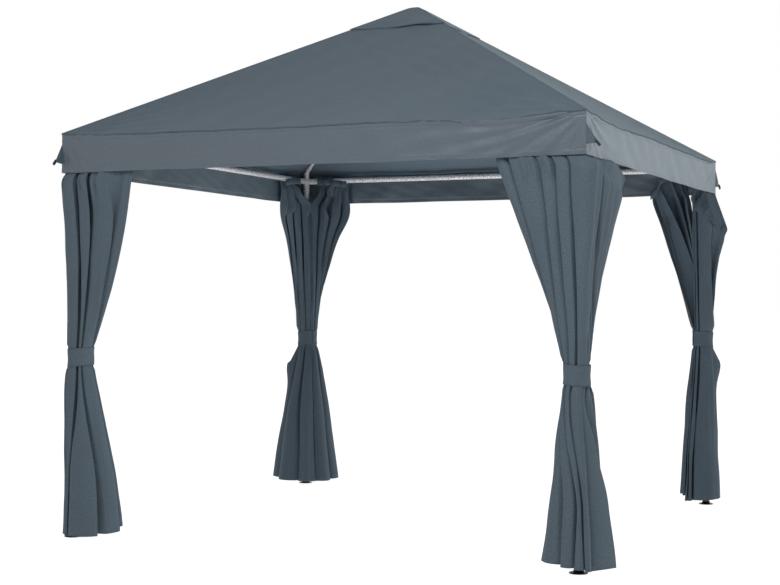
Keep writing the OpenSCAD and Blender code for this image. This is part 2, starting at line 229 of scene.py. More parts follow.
def colour_value(name, description, default):
    """Property for a colour."""
    return bpy.props.FloatVectorProperty(name=name, description=description, subtype="COLOR", size=3,
                                         min=0.0, max=1.0, default=default)


def length_value(name, description, default):
    """Property for a length."""
    return bpy.props.FloatProperty(name=name, description=description, unit="LENGTH", default=default)


def light_value(name, description, default):
    """Property for the strength or power of a light."""
    return bpy.props.FloatProperty(name=name, description=description, default=default, min=0.0)


class CanopyProps(bpy.types.PropertyGroup):
    """Cut, sag and colour of the canopy cloth."""

    colour: colour_value("Canopy Colour", "Slate blue-grey of the canopy cloth", (0.090, 0.124, 0.155))
    cloth: length_value("Cloth Thickness", "Thickness of the canopy cloth", 0.0013)
    lip: length_value("Eave Lip", "Depth of the roof cloth turned down over the valance", 0.007)
    eave_sag: length_value("Eave Sag", "Dip of the eave between the corners", 0.018)
    panel_sag: length_value("Panel Sag", "Dip of the roof cloth between the hips", 0.020)
    wrinkle: length_value("Wrinkles", "Depth of the wrinkles that fan out of the corners", 0.0035)
    hem: length_value("Valance Hem", "Height of the doubled hem of the valance", 0.025)


class CurtainProps(bpy.types.PropertyGroup):
    """Cut and colour of the curtains and ties."""

    colour: colour_value("Curtain Colour", "Teal-grey of the curtain cloth", (0.104, 0.140, 0.172))
    cloth: length_value("Cloth Thickness", "Thickness of the curtain cloth", 0.0010)
    width: length_value("Flat Width", "Width that a curtain is cut to", 0.90)


class FrameProps(bpy.types.PropertyGroup):
    """Finishes of the frame and its fittings."""

    steel: colour_value("Steel Colour", "Light lilac-grey of the hammered coat", (0.90, 0.88, 0.94))
    dimple: length_value("Hammer Pitch", "Width of the dimples in the hammered coat", 0.006)
    foot: colour_value("Foot Colour", "Black of the foot mouldings", (0.012, 0.012, 0.013))
    webbing: colour_value("Webbing Colour", "Black of the guy loops", (0.010, 0.010, 0.012))


class StageProps(bpy.types.PropertyGroup):
    """Light and floor of the picture."""

    key: light_value("Key Light", "Strength of the soft key from the back right", 0.75)
    front: light_value("Front Light", "Strength of the wide light from the front left", 0.12)
    box: light_value("Softbox", "Power of the softbox high at the front right", 104.0)
    glow: light_value("Inner Glow", "Power of the light from the ground inside the legs", 15.0)
    fill: light_value("Fill Light", "Strength of the light from all round", 0.17)
    bounce: light_value("Floor Glow", "Strength of the light that the lit floor sends up", 0.30)
    floor: colour_value("Floor Colour", "Pale floor", (0.90, 0.90, 0.90))


def put(tree, kind, inputs=None, **settings):
    """Adds a node, sets its settings, and sets or links its inputs by name or number."""
    made = tree.nodes.new(kind)
    for key, value in settings.items():
        setattr(made, key, value)
    for key, value in (inputs or {}).items():
        if isinstance(value, bpy.types.NodeSocket):
            tree.links.new(value, made.inputs[key])
        else:
            made.inputs[key].default_value = value
    return made


def calc(tree, operation, *values):
    """Result of a Math node on numbers or sockets."""
    return put(tree, "ShaderNodeMath", dict(enumerate(values)), operation=operation).outputs[0]


def tint(tree, factor, low, high, blend="MIX"):
    """Colour mixed from low to high by factor."""
    return put(tree, "ShaderNodeMix", {"Factor": factor, 6: low, 7: high},
               data_type="RGBA", blend_type=blend).outputs[2]


def noise(tree, vector, scale, detail, **more):
    """Value of a Noise texture, with more of its inputs by name."""
    return put(tree, "ShaderNodeTexNoise", dict(Vector=vector, Scale=scale, Detail=detail, **more)).outputs[0]


def bands(tree, vector, period, way):
    """Value of a Wave texture: bands a period apart, across the way given."""
    return put(tree, "ShaderNodeTexWave", {"Vector": vector, "Scale": math.pi / (10.0 * period)},
               bands_direction=way).outputs[1]


def remap(tree, value, low, high, start=0.0, stop=1.0):
    """Value taken from the range from start to stop to the one from low to high."""
    return put(tree, "ShaderNodeMapRange", {"Value": value, "From Min": start, "From Max": stop,
                                            "To Min": low, "To Max": high}).outputs[0]


def bumped(tree, strength, distance, height, under=None):
    """Normal bent by a height, on top of another one that may lie under it."""
    inputs = {"Strength": strength, "Distance": distance, "Height": height}
    if under:
        inputs["Normal"] = under
    return put(tree, "ShaderNodeBump", inputs).outputs[0]


def shade(colour, share):
    """A colour times a share, with alpha."""
    return tuple(min(1.0, c * share) for c in colour) + (1.0,)


def empty_tree(owner):
    """Node tree of a material or world, with no node in it."""
    owner.use_nodes = True
    owner.node_tree.nodes.clear()
    return owner.node_tree


def blank_material(name):
    """A material with only a Principled shader, and its tree and shader."""
    material = bpy.data.materials.new(name)
    tree = empty_tree(material)
    shader = put(tree, "ShaderNodeBsdfPrincipled")
    put(tree, "ShaderNodeOutputMaterial", {"Surface": shader.outputs[0]})
    return material, tree, shader


def wire(tree, shader, base, rough, normal):
    """Links a base colour, a roughness and a normal to a Principled shader."""
    for key, value in {"Base Color": base, "Roughness": rough, "Normal": normal}.items():
        tree.links.new(value, shader.inputs[key])


def stitch_rows(tree, across, along, places, pitch=0.005, width=0.0012, sewn=0.6):
    """Rows of stitches: 1 where across is within half a width of a place, on the sewn share of each pitch."""
    rows = 0.0
    for place in places:
        gap = calc(tree, "ABSOLUTE", calc(tree, "SUBTRACT", across, place))
        rows = calc(tree, "MAXIMUM", rows, calc(tree, "LESS_THAN", gap, width / 2))
    dash = calc(tree, "LESS_THAN", calc(tree, "FRACT", calc(tree, "DIVIDE", along, pitch)), sewn)
    return calc(tree, "MULTIPLY", rows, dash)


def cloth_finish(name, colour, weave, rough, gloss, sheen, cross_rows=(), run_rows=(), hip_rows=()):
    """Plain-woven cloth on a UV map in metres: two crossed waves for the weave, soft mottling and fine
    creases, and rows of stitches at places of V (cross_rows), of U (run_rows) and of the hip distance."""
    material, tree, shader = blank_material(name)
    uv = put(tree, "ShaderNodeUVMap", uv_map="cut").outputs[0]
    split = put(tree, "ShaderNodeSeparateXYZ", {0: uv})
    run = split.outputs[0]
    cross = split.outputs[1]
    mottle = noise(tree, uv, 3.5, 6.0, Roughness=0.6)
    grain = noise(tree, uv, 110.0, 4.0, Roughness=0.7)
    base = tint(tree, mottle, shade(colour, 0.88), shade(colour, 1.12))
    base = tint(tree, 0.55, base, grain, "SOFT_LIGHT")
    sewn = stitch_rows(tree, cross, run, cross_rows)
    sewn = calc(tree, "MAXIMUM", sewn, stitch_rows(tree, run, cross, run_rows))
    if hip_rows:
        hip = put(tree, "ShaderNodeAttribute", attribute_name="hip_gap").outputs["Fac"]
        sewn = calc(tree, "MAXIMUM", sewn, stitch_rows(tree, hip, cross, hip_rows))
    base = tint(tree, sewn, base, shade(colour, 0.45))
    threads = calc(tree, "MULTIPLY", bands(tree, uv, weave, "X"), bands(tree, uv, weave, "Y"))
    creases = noise(tree, uv, 26.0, 3.0, Roughness=0.55, Distortion=0.8)
    normal = bumped(tree, 0.30, 0.004, creases)
    normal = bumped(tree, 0.35, weave / 4, threads, normal)
    normal = bumped(tree, 0.6, 0.0008, sewn, normal)
    wire(tree, shader, base, remap(tree, mottle, rough, rough + 0.14), normal)
    shader.inputs["Sheen Weight"].default_value = sheen
    shader.inputs["Sheen Tint"].default_value = (0.66, 0.90, 1.0, 1.0)
    shader.inputs["Sheen Roughness"].default_value = 0.45
    shader.inputs["Specular IOR Level"].default_value = gloss
    return material


def hammered_finish(name, colour, pitch):
    """Hammered powder coat: dimples from a smooth Voronoi cell of the given pitch, flecks from fine noise."""
    material, tree, shader = blank_material(name)
    place = put(tree, "ShaderNodeTexCoord").outputs["Object"]
    cells = put(tree, "ShaderNodeTexVoronoi", {"Vector": place, "Scale": 1.0 / pitch, "Smoothness": 0.6},
                feature="SMOOTH_F1").outputs[0]
    flecks = remap(tree, noise(tree, place, 0.7 / pitch, 3.0), 0.0, 1.0, start=0.36, stop=0.60)
    base = tint(tree, flecks, shade(colour, 0.45), shade(colour, 1.12))
    base = tint(tree, 0.25, base, noise(tree, place, 9.0, 3.0), "SOFT_LIGHT")
    wire(tree, shader, base, remap(tree, cells, 0.28, 0.46), bumped(tree, 0.45, pitch / 8, cells))
    shader.inputs["Metallic"].default_value = 0.10
    return material


def moulded_finish(name, colour):
    """Black moulded plastic: fine spark-eroded grain, and scuffs that lighten and roughen it."""
    material, tree, shader = blank_material(name)
    place = put(tree, "ShaderNodeTexCoord").outputs["Object"]
    grain = noise(tree, place, 900.0, 2.0)
    scuffs = remap(tree, noise(tree, place, 45.0, 5.0, Distortion=1.5), 0.0, 1.0, start=0.55, stop=0.75)
    base = tint(tree, scuffs, shade(colour, 1.0), shade(colour, 2.6))
    wire(tree, shader, base, remap(tree, scuffs, 0.26, 0.48), bumped(tree, 0.25, 0.0003, grain))
    return material


def webbing_finish(name, colour, rib=0.0018):
    """Woven webbing on a UV map in metres: ribs across the strap and a chevron of yarns, with painted shade
    in their hollows and a painted highlight on their crests.
    """
    material, tree, shader = blank_material(name)
    uv = put(tree, "ShaderNodeUVMap", uv_map="cut").outputs[0]
    height = calc(tree, "MULTIPLY", bands(tree, uv, rib, "X"), bands(tree, uv, 0.7 * rib, "DIAGONAL"))
    # Painted shade and highlight: the colour goes from dark in the hollows to light on the crests, by the
    # same height as the bump
    base = tint(tree, height, shade(colour, 0.7), shade(colour, 2.2))
    wire(tree, shader, base, remap(tree, height, 0.75, 0.55), bumped(tree, 0.5, rib / 4, height))
    return material


def sheet_mesh(name, points, uv, closed=False, flip=False, marks=None):
    """Mesh of a grid of points, rows by columns, joined into quads. Closed joins the last column to the
    first, where uv has one column more than points. Marks are named numbers for each point."""
    rows, cols = points.shape[:2]
    index = np.arange(rows * cols).reshape(rows, cols)
    if closed:
        index = np.concatenate([index, index[:, :1]], axis=1)
    quads = np.stack([index[:-1, :-1], index[:-1, 1:], index[1:, 1:], index[1:, :-1]], axis=-1)
    quads = quads.reshape(-1, 4)
    cut = np.stack([uv[:-1, :-1], uv[:-1, 1:], uv[1:, 1:], uv[1:, :-1]], axis=2).reshape(-1, 4, 2)
    if flip:
        quads = quads[:, ::-1]
        cut = cut[:, ::-1]
    mesh = bpy.data.meshes.new(name)
    mesh.from_pydata(points.reshape(-1, 3), [], quads)
    layer = mesh.uv_layers.new(name="cut")
    layer.data.foreach_set("uv", np.ascontiguousarray(cut, dtype=np.float32).reshape(-1))
    for key, values in (marks or {}).items():
        layer = mesh.attributes.new(key, "FLOAT", "POINT")
        layer.data.foreach_set("value", np.ascontiguousarray(values, dtype=np.float32).reshape(-1))
    mesh.shade_smooth()
    mesh.update()
    return mesh


def add_piece(name, mesh, material, thickness):
    """Object of a mesh with its finish, given a wall by Solidify and tied to the frame."""
    mesh.materials.append(material)
    piece = bpy.data.objects.new(name, mesh)
    bpy.context.scene.collection.objects.link(piece)
    wall = piece.modifiers.new("wall", "SOLIDIFY")
    wall.thickness = thickness
    wall.offset = 0.0
    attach(piece, "root")
    return piece


def ease(x, start=0.0, run=1.0):
    """Smooth step from 0 at the start to 1 a run later."""
    x = np.clip((x - start) / run, 0.0, 1.0)
    return x * x * (3.0 - 2.0 * x)


def hump(x, centre, width):
    """Bell curve: 1 at the centre, and about a third one width away from it."""
    return np.exp(-(((x - centre) / width) ** 2))


def ripple(u, v, seed, waves=7, low=1.0, high=4.0):
    """Smooth random waves: a sum of sines of u and v with seeded directions, about -1 to 1."""
    rng = np.random.default_rng(seed)
    rate_u = rng.uniform(low, high, waves) * rng.choice([-1.0, 1.0], waves)
    rate_v = rng.uniform(low, high, waves)
    phase = rng.uniform(0.0, 2.0 * math.pi, waves)
    angles = np.multiply.outer(u, rate_u) + np.multiply.outer(v, rate_v)
    return np.sin(2.0 * math.pi * angles + phase).sum(axis=-1) / math.sqrt(2.0 * waves)


def around(count):
    """Ring of columns round the plan: side number and place from hip to hip, closer together at hips."""
    place = np.sin(np.linspace(-0.5, 0.5, count + 1)[:-1] * math.pi)
    return np.repeat(np.arange(4), count), np.tile(place, 4)


def ring_points(side, place, reach, height):
    """Points of a square ring: reach out from the middle on a side, place times reach along it, and the
    height."""
    across = SIDE_OUT[side] * reach[..., None] + SIDE_ALONG[side] * (place * reach)[..., None]
    return np.concatenate([across, height[..., None]], axis=-1)


def ring_run(side, place, reach):
    """Length along the sides of a square ring, from the middle of the front."""
    return 2.0 * HALF * side + place * reach


def ring_uv(side, place, reach, cross):
    """UV in metres of a ring's rows: run along the sides, cross from row to row, with a last column that
    closes the seam."""
    run = ring_run(side, place, reach) + HALF
    run = np.concatenate([run, run[:, :1] + 8.0 * HALF], axis=1)
    cross = np.concatenate([cross, cross[:, :1]], axis=1)
    return np.stack([run, cross], axis=-1)


def hip_seam(gap, thick, half_width):
    """Raised seam along a hip: its thickness within half a width of the hip, and then hardly any."""
    return thick * np.exp(-((gap / half_width) ** 4))


def eave_drop(side, place, sag):
    """Dip of the eave: a flat-bottomed sag between the corners plus one local dip on each side."""
    centre, width, depth = np.array([EAVE_DIPS[s] for s in SIDES]).T
    local = depth[side] * hump(place, centre[side], width[side])
    return (sag + local) * (1.0 - np.abs(place) ** 8)


def corner_fan(along, down, seed, fine=17.0):
    """Wrinkles that fan out of a corner: waves of the angle round it, fading near to it and far from it."""
    far = np.hypot(along, down)
    angle = np.arctan2(down, along)
    fade = ease(far, 0.03, 0.10) * hump(far, 0.0, 0.42)
    return fade * (np.sin(fine * angle + seed) + 0.6 * np.sin(1.7 * fine * angle + 2.1 * seed + 3.0 * far))


def drag_folds(along, down):
    """Long shallow folds that pull from the top of a corner: coarse waves of the angle round it near by,
    finer ones further off, within 40 degrees of the eave and fading over a metre."""
    far = np.hypot(along, down)
    angle = np.arctan2(down, along)
    near = ease(far, 0.05, 0.15) * hump(far, 0.0, 0.45) * np.sin(24.0 * angle + 1.2 * np.sin(3.0 * far))
    beyond = ease(far, 0.20, 0.25) * hump(far, 0.0, 0.95) * np.sin(52.0 * angle + 2.0 * np.sin(2.5 * far))
    return (1.2 * near + 0.8 * beyond) * (1.0 - ease(angle, 0.45, 0.30))


def panel_dip(props, place, share):
    """Dip of the roof cloth between the hips, deepest half way up the slope and none at the vent."""
    return props.panel_sag * (1.0 - place ** 2) * np.sin(math.pi * np.clip(share, 0.0, 1.0)) ** 0.8


def roof_sheet(props, count=84, slope_rows=78):
    """Roof cloth as one ring of columns: a lip down over the valance, the turn of the eave, then the four
    planes up to the vent. Height is the plane minus the eave's dip, which fades upwards, minus a sag
    between the hips, plus the hip seams and wrinkles."""
    side, place = around(count)
    lip_reach = np.array([0.0006, 0.0012, 0.0012, 0.0004])
    lip_fall = np.array([1.0, 0.55, 0.28, 0.12]) * props.lip
    eave_rows = [0.003, 0.008]
    first_row = 0.018
    slope_reach = HALF - np.concatenate([eave_rows, np.linspace(first_row, PANEL_RUN, slope_rows)])
    reach = np.concatenate([HALF + lip_reach, slope_reach])
    fall = np.concatenate([lip_fall, np.zeros(len(slope_reach))])
    rows, side = np.meshgrid(reach, side, indexing="ij")
    place = np.broadcast_to(place, rows.shape)
    share = np.clip((HALF - rows) / PANEL_RUN, 0.0, 1.0)
    drop = eave_drop(side, place, props.eave_sag) * (1.0 - ease(share, 0.0, 0.75))
    sag = panel_dip(props, place, share)
    gap = rows * (1.0 - np.abs(place))
    off_hip = 1.0 - hump(gap, 0.0, 0.07)
    run = ring_run(side, place, rows)
    near_eave = np.exp(-share / 0.10)
    slant = run / 0.24 + 2.0 * share
    waves = 0.0035 * ripple(run / 1.1, share * 1.3, seed=5, low=0.5, high=1.6)
    waves += 0.0030 * near_eave * ripple(run / 0.5, share * 2.0, seed=9, low=0.6, high=2.0)
    waves += 0.0026 * ripple(slant, share * 5.0, seed=13, low=0.6, high=1.8)
    fans = corner_fan(gap, share * PANEL_RUN * PATTERN_CLIMB, 1.0 + side) * 0.5 * props.wrinkle
    seam = hip_seam(gap, thick=0.0011, half_width=0.013)
    height = EAVE + SLOPE * (HALF - np.minimum(rows, HALF)) - SKIN / 2
    height = height - drop - sag + off_hip * (waves + fans) + seam - fall[:, None]
    points = ring_points(side, place, rows, height)
    cross = props.lip - fall + (HALF - np.minimum(reach, HALF)) * PATTERN_CLIMB
    return points, ring_uv(side, place, rows, np.broadcast_to(cross[:, None], rows.shape)), gap


def valance_sheet(props, count=110):
    """Valance as one band round the canopy, from under the eave's lip down to its hem. Each column hangs
    from the dipped eave; fans of wrinkles, seam puckers and a slow sway move it out and in."""
    side, place = around(count)
    share = np.concatenate([[0.0, 0.03, 0.06, 0.085], np.linspace(0.095, 0.125, 6),
                            np.linspace(0.15, 0.86, 24), np.linspace(0.875, 1.0, 8)])
    share, side = np.meshgrid(share, side, indexing="ij")
    place = np.broadcast_to(place, share.shape)
    top = EAVE - SKIN - eave_drop(side, place, props.eave_sag)
    run = ring_run(side, place, HALF)
    corner = HALF * (1.0 - np.abs(place))
    off_hip = 1.0 - hump(corner, 0.0, 0.05)
    uneven = 0.002
    foot = ripple(run / 0.8, 0.0, seed=21, low=0.4, high=1.4)
    foot = VALANCE_FOOT + uneven + uneven * off_hip * foot
    down = (top - foot) * share
    sway = VALANCE_SWAY[side] * share ** 1.4 * ripple(run / 0.9, share * 0.5, seed=23, low=0.4, high=1.5)
    sway += 0.0012 * ease(share, 0.0, 0.3) * ripple(run / 0.40, share * 0.7, seed=25, low=0.5, high=1.6)
    slant = run / 0.26 + 4.0 * down
    sway += 0.0021 * ease(share, 0.0, 0.2) * ripple(slant, share * 1.1, seed=29, low=0.6, high=1.8)
    pucker = 0.0016 * np.exp(-down / 0.06) * ripple(run / 0.10, share * 0.4, seed=27, low=0.5, high=1.6)
    fans = props.wrinkle * corner_fan(corner, down, 2.0 + 1.3 * side + np.sign(place))
    near_corner = (side == 0) & (place > 0.0)
    fans += np.where(near_corner, 1.3 * props.wrinkle * drag_folds(corner, down), 0.0)
    seam_at = 0.0245
    crease = 0.0012 * hump(down, seam_at, 0.0020)
    hem_step = 0.003
    hem = 0.0009 * ease((props.hem - (top - foot - down)) / hem_step + 0.5)
    inset = 0.0016
    reach = HALF - inset + off_hip * (sway + pucker + fans) + hem - crease
    points = ring_points(side, place, reach, top - down)
    return points, ring_uv(side, place, np.full_like(reach, HALF), down)


def cap_sheet(props, count=44, slope_rows=34):
    """Vent cap as one ring of columns on the roof's planes, rounded over the crown by a hyperbola, with its
    lower edge lifted a little between the hips and a narrow hem turned under it."""
    side, place = around(count)
    hem_in = np.array([0.004, 0.0006, 0.0])
    hem_fall = np.array([0.0045, 0.0035, 0.0012])
    first_row = 0.005
    last_row = 0.294
    reach = CAP_HALF - np.concatenate([hem_in, np.linspace(first_row, last_row, slope_rows)])
    fall = np.concatenate([hem_fall, np.zeros(slope_rows)])
    rows, side = np.meshgrid(reach, side, indexing="ij")
    place = np.broadcast_to(place, rows.shape)
    gap = rows * (1.0 - np.abs(place))
    flat_crown = 0.15
    edge = ease(rows, flat_crown, CAP_HALF - flat_crown)
    lift = edge * (CAP_LIFT[side, 0] + CAP_LIFT[side, 1] * hump(place, 0.45, 0.40))
    run = ring_run(side, place, rows)
    waves = 0.0022 * edge * ripple(run / 0.35, rows * 2.0, seed=33, low=0.5, high=1.6)
    off_hip = 1.0 - hump(gap, 0.0, 0.03)
    seam = hip_seam(gap, thick=0.0010, half_width=0.010)
    round_off = 0.030
    under_top = 0.0010
    crown = CAP_HIGH[2] - under_top
    over_roof = 0.0022
    over_edge = 0.0020
    height = crown - SLOPE * (np.sqrt(rows ** 2 + round_off ** 2) - round_off)
    base = EAVE + SLOPE * (HALF - rows) + over_roof
    height = np.minimum(height, base + over_edge) * (1.0 - edge) + base * edge
    height = height - panel_dip(props, place, (HALF - rows) / PANEL_RUN)
    height = height + lift + off_hip * waves + seam - fall[:, None]
    points = ring_points(side, place, rows, height)
    cross = (CAP_HALF - reach) * PATTERN_CLIMB + fall[0] - fall
    return points, ring_uv(side, place, rows, np.broadcast_to(cross[:, None], rows.shape)), gap


def close_top(mesh, points):
    """Closes the small square left at the top of the cap with one face."""
    rows, cols = points.shape[:2]
    made = bmesh.new()
    made.from_mesh(mesh)
    made.verts.ensure_lookup_table()
    top = [made.verts[(rows - 1) * cols + i] for i in range(cols)]
    made.faces.new(top).smooth = True
    made.to_mesh(mesh)
    made.free()


def corner_frame(corner):
    """Ways out of a corner of the canopy and across that, and the corner's plan point. Out is along the
    diagonal, swung round by the corner's TAB_SWING."""
    sx, sy = CORNERS[corner]
    turn = math.atan2(-sy, -sx) + math.radians(TAB_SWING.get(corner, 0.0))
    out = np.array([math.cos(turn), math.sin(turn), 0.0])
    side = np.array([-out[1], out[0], 0.0])
    return out, side, np.array([-sx * HALF, -sy * HALF, 0.0])


def tab_sheet(corner, low, high, reach):
    """Guy tab as a triangle of cloth: from its sewn root on the corner to a blunt tip low on its outer
    edge, u out and v up the root, with a soft curl across."""
    out, side, foot = corner_frame(corner)
    u, v = np.meshgrid(np.linspace(0.0, 1.0, 15), np.linspace(0.0, 1.0, 19), indexing="ij")
    tip_low = low + 0.006
    tip_high = tip_low + 0.012
    bottom = low + (tip_low - low) * u
    top = high + (tip_high - high) * u ** 0.9
    curl = 0.005 * np.sin(math.pi * v) * u + 0.004 * u ** 2
    height = bottom + (top - bottom) * v
    root_in = 0.0012
    points = foot + out * (reach * u - root_in)[..., None] + side * curl[..., None]
    points[..., 2] += height
    uv = np.stack([reach * u, height - low], axis=-1)
    return points, uv


def loop_strap(corner, low, reach):
    """Guy loop as a strap folded nearly flat in the tab's plane: out of the tab's tip, round and back."""
    out, side, foot = corner_frame(corner)
    turn = np.linspace(0.0, 2.0 * math.pi, 49)
    sewn_in = 0.008
    along = LOOP_LENGTH * (0.5 - 0.5 * np.cos(turn)) - sewn_in
    open_out = 0.10 * LOOP_LENGTH * np.sin(turn)
    fall = math.radians(50.0)
    down = np.array([0.0, 0.0, -1.0])
    way = out * math.cos(fall) + down * math.sin(fall)
    up = out * math.sin(fall) - down * math.cos(fall)
    tip_in = 0.003
    tip_z = low + 0.011
    start = foot + out * (reach - tip_in) + np.array([0.0, 0.0, tip_z])
    path = start + way * along[:, None] + side * open_out[:, None]
    across = np.linspace(-0.5, 0.5, 7) * LOOP_WIDTH
    points = path[:, None, :] + up * across[None, :, None]
    run = np.concatenate([[0.0], np.cumsum(np.linalg.norm(np.diff(path, axis=0), axis=1))])
    uv = np.stack(np.meshgrid(run, across, indexing="ij"), axis=-1)
    return points, uv


def tie_centre(corner):
    """Middle of a tie in its corner's own plan, its height and its outer radius, from the CAD node."""
    low, high = span_of("tie_back_" + corner)
    sx, sy = CORNERS[corner]
    middle = (low + high) / 2
    return np.array([sx * middle[0] + LEG, sy * middle[1] + LEG]), middle[2], (high[0] - low[0]) / 2


def to_corner(corner, points, rail="x"):
    """Points of the corner's own plan, with the rail along x and the middle of the plan towards +y, put in
    place, and whether the way round has turned."""
    sx, sy = CORNERS[corner]
    across = points[..., ::-1][..., 1:] if rail == "y" else points[..., :2]
    placed = np.concatenate([(across - LEG) * np.array([sx, sy]), points[..., 2:]], axis=-1)
    return placed, (sx * sy > 0) == (rail == "x")


def fold_map(folds, columns, tuck_share):
    """Places across the cloth, for each tuck its reach: 1 within it, and its depth: a ridge from 0 at its
    two edges to 1 in its middle, and the tucks' middles. The cloth outside the tucks is shared between the
    panels by their widths."""
    gaps = np.diff(np.concatenate([[0.0], folds, [1.0]]))
    tuck = tuck_share / len(folds)
    middles = np.cumsum(gaps[:-1]) * (1.0 - tuck_share) + tuck * (np.arange(len(folds)) + 0.5)
    u = np.linspace(0.0, 1.0, columns)
    off = np.abs(u[:, None] - middles[None, :]) / (tuck / 2.0)
    return u, (off < 1.0).astype(float), np.clip(1.0 - off, 0.0, 1.0), middles


def smooth_grid(points, across, down):
    """Points after passes of the weights 1, 2, 1 across the columns and down the rows. The points beyond an
    edge are its mirror image through the edge, so the edges stay where they are."""
    for axis, passes in ((1, across), (0, down)):
        for _ in range(passes):
            points = np.swapaxes(points, 0, axis)
            ahead = np.concatenate([points[1:], 2.0 * points[-1:] - points[-2:-1]])
            behind = np.concatenate([2.0 * points[:1] - points[1:2], points[:-1]])
            points = np.swapaxes((ahead + 2.0 * points + behind) / 4.0, 0, axis)
    return points


def drape_rows(head_z, tie_z, hem_z):
    """Rows of a curtain below its heading: way down to the tie, way from the tie to the hem, each from 0 to
    1, and height, as columns. Across the tie's own width the first stays at 1 and the second at 0."""
    fall = np.linspace(0.0, 1.0, 60)[1:]
    hold = np.linspace(0.0, 1.0, 8)[1:]
    flare = np.linspace(0.0, 1.0, 44)[1:]
    upper = np.concatenate([fall, np.ones(len(hold) + len(flare))])
    lower = np.concatenate([np.zeros(len(fall) + len(hold)), flare])
    tie_top = tie_z + TIE_HALF
    tie_foot = tie_z - TIE_HALF
    height = np.concatenate([head_z + (tie_top - head_z) * fall, tie_top - TIE_WIDTH * hold,
                             tie_foot + (hem_z - tie_foot) * flare])
    return upper[:, None], lower[:, None], height[:, None]


def keep_clear(points, how):
    """Moves a curtain's points, in place, back over the corner's diagonal, off the leg, in behind the
    valance, and into a cone that opens up and down from the tie."""
    centre, tie_z, tie_r = tie_centre(how["corner"])
    height = points[..., 2]
    flat = points[..., :2]
    tiny = 1e-6

    # Over the diagonal, beyond which the other half hangs
    halves_gap = 0.0012
    above, at_tie, beneath = how["cross"]
    up = ease(height, tie_z, 0.5)
    down = ease(tie_z - height, 0.0, 0.12)
    cross = above * up + beneath * down + at_tie * (1.0 - up - down)
    over = np.maximum(flat[..., 1] - flat[..., 0] + halves_gap - cross, 0.0) / 2.0
    flat[..., 0] += over
    flat[..., 1] -= over

    # Off the leg, below the gathers on the rail
    leg_clear = LEG_R + 0.0018
    gathers_foot = RAIL_Z - 0.030
    gap = np.linalg.norm(flat, axis=-1)
    pressed = (height < gathers_foot) & (gap < leg_clear)
    flat *= np.where(pressed, leg_clear / np.maximum(gap, tiny), 1.0)[..., None]

    # Behind the valance, with room to stand out once below it
    valance_room = 0.038
    open_room = 0.30
    way_in = 0.020
    behind = ease(height, VALANCE_FOOT - way_in, way_in)
    farthest_out = -valance_room * behind - open_room * (1.0 - behind)
    flat[...] = np.maximum(flat, farthest_out[..., None])

    # Inside the tie, and within the cone above and below it
    tie_room = tie_r - 0.005
    tie_margin = 0.004
    cone_slope = 0.5
    cone_reach = 0.12
    spread = flat - centre
    off_tie = np.maximum(np.abs(height - tie_z) - TIE_HALF - tie_margin, 0.0)
    room = (tie_room + cone_slope * off_tie) / np.maximum(np.linalg.norm(spread, axis=-1), tiny)
    held = np.where(off_tie < cone_reach, np.minimum(1.0, room), 1.0)
    flat[...] = centre + spread * held[..., None]


def drape_uv(points, width):
    """UV in metres of a curtain: its width shared along each row by length, and the usual length down it.
    Also gives the whole length."""
    step = np.linalg.norm(np.diff(points, axis=0), axis=-1)
    down = np.concatenate([[0.0], np.cumsum(np.median(step, axis=1))])
    run = np.cumsum(np.linalg.norm(np.diff(points, axis=1, prepend=points[:, :1]), axis=-1), axis=1)
    run = width * run / run[:, -1:]
    return np.stack([run, np.broadcast_to(down[:, None], run.shape)], axis=-1), down[-1]


def tuck_rows(how, way, rng, seed):
    """Tucks of a curtain on rows at the given way down it: places across the cloth, places along each row's
    line, of which a drawn tuck takes hardly any, and how far each point goes in from the line and aside."""
    folds = np.array(how["folds"][0])
    u, in_tuck, tuck_depth, tuck_at = fold_map(folds, CURTAIN_COLUMNS, TUCK_SHARE)
    loose = rng.uniform(0.80, 1.20, len(folds)) * how["upper"]
    lean = -rng.uniform(0.25, 0.60, len(folds))
    steps = np.concatenate([np.multiply.outer(TUCK_DEPTHS_ABOVE, loose),
                            np.multiply.outer(TUCK_DEPTHS_AT_TIE, np.ones(len(folds))), [how["hem_depths"]]])
    depth = np.stack([np.interp(way[:, 0], TUCK_STATIONS, tuck) for tuck in steps.T], axis=-1)
    drawn = np.clip(depth / TUCK_DRAWN, 0.0, 1.0)
    place = np.cumsum(1.0 - TUCK_TAKES * (drawn @ in_tuck.T), axis=1)
    place = (place - place[:, :1]) / (place[:, -1:] - place[:, :1])
    inward = depth @ tuck_depth.T
    side = np.sign(u[:, None] - tuck_at) * in_tuck
    slack = 0.55 + 0.45 * ripple(1.4 * way, 0.0, seed + 2, low=0.4, high=1.5)
    mouth = 0.0018 + 0.014 * (1.0 - tuck_depth) ** 2
    aside = slack * (drawn @ (side * mouth).T) + (depth * lean) @ tuck_depth.T
    return u, place, inward, aside


